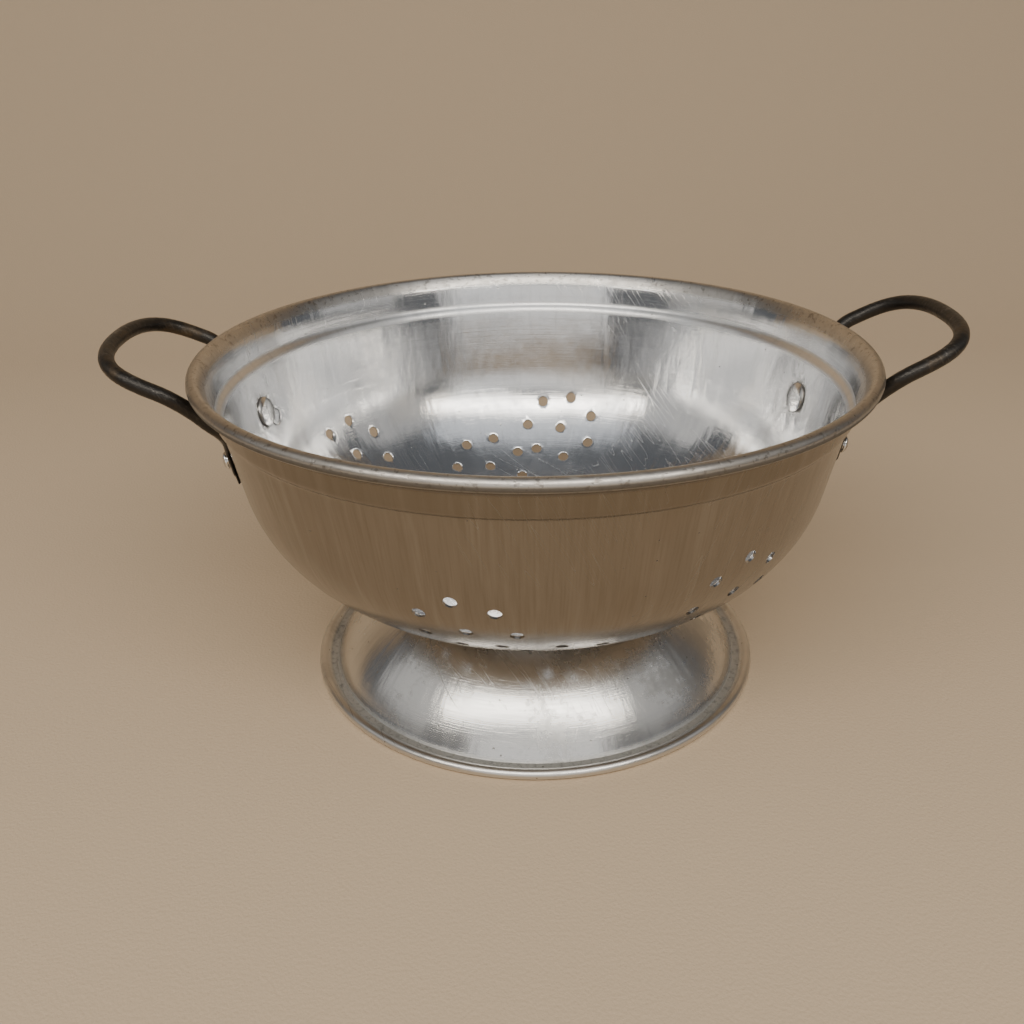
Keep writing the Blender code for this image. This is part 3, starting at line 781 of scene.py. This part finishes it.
rivetFinish = {
    "bright": (0.86, 0.855, 0.84, 1), "worn": (0.62, 0.61, 0.60, 1),
    # a dark line round each head where it meets the sheet: grime with painted shade in the crease
    "grimeAndShade": ((0.12, 0.10, 0.08, 1), 0.7), "grimeAndShadeRadius": 0.0061, "grimeAndShadeDepth": 0.0009,
    "roughness": 0.20,
    "dents": 0.00010, "grain": 0.00003,                               # heights of the bumps in metres
}


def makeRivetMetal(s):
    f = Finish("rivetAluminium")
    grain = f.noise(f.place, 900, 3, 0.7)
    blotch = f.noise(f.place, 240, 3, 0.6)
    rub = f.hairlines((0.4, 0.9, 0.3), 90, 10, 0.02, 0.6)
    grimeAndShade = 0.0
    # grime with painted shade in the crease where the head meets the sheet
    for place in handleRivets.values():        # a dark line round the head
        away = f.distance(place @ Vector((0, 0, -s["grimeAndShadeDepth"])))
        grimeAndShade = grimeAndShade + f.near(away, s["grimeAndShadeRadius"], 0.0002, 0.0004)
    grimeAndShade = grimeAndShade * f.step(blotch, 0.3, 0.6)
    colour = f.mix(f.step(blotch, 0.45, 0.7), s["bright"], s["worn"])
    colour = f.mark(colour, grimeAndShade, s["grimeAndShade"])
    rough = s["roughness"] + (blotch - 0.5) * 0.25 + rub * 0.12 + grimeAndShade * 0.3
    bumps = f.bump(blotch, s["dents"])
    bumps = f.bump(grain + rub * 0.4, s["grain"], bumps)
    return f.done(Base_Color=colour, Roughness=rough, Metallic=1.0, Normal=bumps)


steelFinish = {
    "dark": (0.026, 0.023, 0.020, 1), "rusty": (0.075, 0.052, 0.030, 1),
    # the worn colour is real wear in random patches plus a painted highlight on upward faces
    "worn": ((0.33, 0.31, 0.28, 1), 0.60),
    "scratch": ((0.24, 0.22, 0.20, 1), 0.2),
    "roughness": 0.36,
    "scale": 0.00030, "grain": 0.00009,                               # heights of the bumps in metres
}


def makeDarkSteel(s):
    f = Finish("darkSteel")
    upward = f.split(f.node("ShaderNodeNewGeometry", output="Normal"))[2]
    grain = f.noise(f.place, 1300, 3, 0.7)
    blotch = f.noise(f.place, 130, 4, 0.65)
    rust = f.step(f.noise(f.place, 60, 4, 0.7), 0.50, 0.70)
    # random wear, weighted to upward faces: partly a painted highlight on the tops
    worn = f.step(upward * 0.26 + blotch * 0.75 + (grain - 0.5) * 0.5, 0.66, 0.82)
    rub = f.hairlines((0.2, 0.6, 1.1), 150, 8, 0.03, 0.6)
    colour = f.mix(rust, s["dark"], s["rusty"])
    colour = f.mark(colour, worn, s["worn"])
    colour = f.mark(colour, rub, s["scratch"])
    rough = s["roughness"] + (blotch - 0.5) * 0.35 + rust * 0.12 - worn * 0.08
    bumps = f.bump(blotch, s["scale"])
    bumps = f.bump(grain, s["grain"], bumps)
    return f.done(Base_Color=colour, Roughness=rough, Metallic=0.55 + worn * 0.45, Normal=bumps)


bowlPoints = bowlOutline(bowlSet)
rivetMetal = makeRivetMetal(rivetFinish)
darkSteel = makeDarkSteel(steelFinish)
finishPiece(bowl, makeBowlMetal(bowlFinish), "bowl_aluminium", "bowl")
finishPiece(foot, makeFootMetal(footFinish), "foot_aluminium", "foot")
dents = clouds("rivetDents", rivetSet["dentSize"], 1)
headBase = bowlSet["sheet"] / 2 + rivetSet["gap"]
for name, place in handleRivets.items():
    tailBase = headBase + rivetSet["gap"] + 2 * handleSet["paddleThickness"]
    rivet = makeRivet(name, place, rivetSet["shank"], rivetSet["head"], rivetSet["tail"],
                      headBase, tailBase, dents)
    finishPiece(rivet, rivetMetal, "rivet_aluminium", name)
for name, place in footRivets.items():
    tailBase = headBase + rivetSet["gap"] + footSet["sheet"]
    rivet = makeRivet(name, place, rivetSet["footShank"], rivetSet["footHead"], rivetSet["footHead"],
                      headBase, tailBase, dents)
    finishPiece(rivet, rivetMetal, "rivet_aluminium", name)
print("rivets:", len(handleRivets) + len(footRivets))
for side in ("left", "right"):
    finishPiece(makeHandle(side, handleSet), darkSteel, "dark_steel", side + "_handle")
print("handles: 2")


studioSet = {
    "floorColour": (0.62, 0.48, 0.33, 1), "floorTint": ((0.55, 0.42, 0.28, 1), 0.12),
    "floorSize": 5.0, "floorTop": -0.0002, "wallHeight": 2.6, "sweep": 0.7, "wallAt": 1.1,
    "skyColour": (0.80, 0.84, 0.90, 1), "skyStrength": 0.12,
    "cameraPlace": (-0.01213, -0.34739, 0.2266),
    "cameraTilt": 64.16, "cameraTurn": -0.625, "cameraRoll": -0.917,
    "lens": 35.05,
    # each soft box: name, bearing, elevation, distance, width, height, watts, colour
    "softBoxes": [
        ("keyBox", 266, 48, 1.3, 2.5, 0.28, 17.0, (1.0, 0.93, 0.82)),
        ("overBox", 270, 60, 1.8, 2.4, 1.4, 7.0, (0.93, 0.96, 1.0)),
        ("frontBox", 270, 14, 2.4, 3.2, 1.4, 11.0, (1.0, 0.97, 0.93)),
        ("leftBox", 190, 30, 1.8, 1.2, 1.2, 2.0, (1.0, 0.96, 0.90)),
        ("rightBox", 345, 30, 1.8, 1.2, 1.2, 1.6, (1.0, 0.96, 0.90)),
    ],
}


def makeStage(s):
    deselectAll()
    half = s["floorSize"] / 2
    bpy.ops.mesh.primitive_plane_add(size=s["floorSize"], location=(0, s["wallAt"] - half, s["floorTop"]))
    floor = bpy.context.object
    floor.name = "studioFloor"
    settle(floor)
    editWhere(floor, "EDGE", lambda a, b: min(a.y, b.y) > s["wallAt"] - 0.01)
    bpy.ops.mesh.extrude_region_move(TRANSFORM_OT_translate={"value": (0, 0, s["wallHeight"])})
    editWhere(floor, "EDGE", lambda a, b: min(a.y, b.y) > s["wallAt"] - 0.01 and max(a.z, b.z) < 0.1)
    bpy.ops.mesh.bevel(offset=s["sweep"], segments=20)
    smooth(floor, 60)
    f = Finish("studioFloor")
    tone = f.noise(f.place, 3, 3)
    floor.data.materials.append(f.done(
        Base_Color=f.mark(s["floorColour"], tone, s["floorTint"]), Roughness=0.85,
        Normal=f.bump(f.noise(f.place, 900, 2), 0.0002)))


def makeLights(s):
    target = Vector((0, 0, 0.06))
    for name, bearing, elevation, away, width, height, watts, colour in s["softBoxes"]:
        b, e = math.radians(bearing), math.radians(elevation)
        toLight = Vector((math.cos(b) * math.cos(e), math.sin(b) * math.cos(e), math.sin(e)))
        bpy.ops.object.light_add(type="AREA", location=target + toLight * away,
                                 rotation=toLight.to_track_quat("Z", "Y").to_euler())
        light = bpy.context.object
        light.name = name
        light.data.shape = "RECTANGLE"
        light.data.size, light.data.size_y = width, height
        light.data.energy = watts
        light.data.color = colour
    world = bpy.data.worlds.new("softSky")
    world.use_nodes = True
    sky = world.node_tree.nodes["Background"]
    sky.inputs["Color"].default_value = s["skyColour"]
    sky.inputs["Strength"].default_value = s["skyStrength"]
    bpy.context.scene.world = world


def makeCamera(s):
    turn = (Matrix.Rotation(math.radians(s["cameraTurn"]), 4, "Z")
            @ Matrix.Rotation(math.radians(s["cameraTilt"]), 4, "X")
            @ Matrix.Rotation(math.radians(s["cameraRoll"]), 4, "Z"))
    bpy.ops.object.camera_add(location=s["cameraPlace"], rotation=turn.to_euler())
    camera = bpy.context.object
    camera.data.lens = s["lens"]
    camera.data.clip_start = 0.01
    bpy.context.scene.camera = camera


deselectAll()
makeStage(studioSet)
makeLights(studioSet)
makeCamera(studioSet)
print("studio ready")
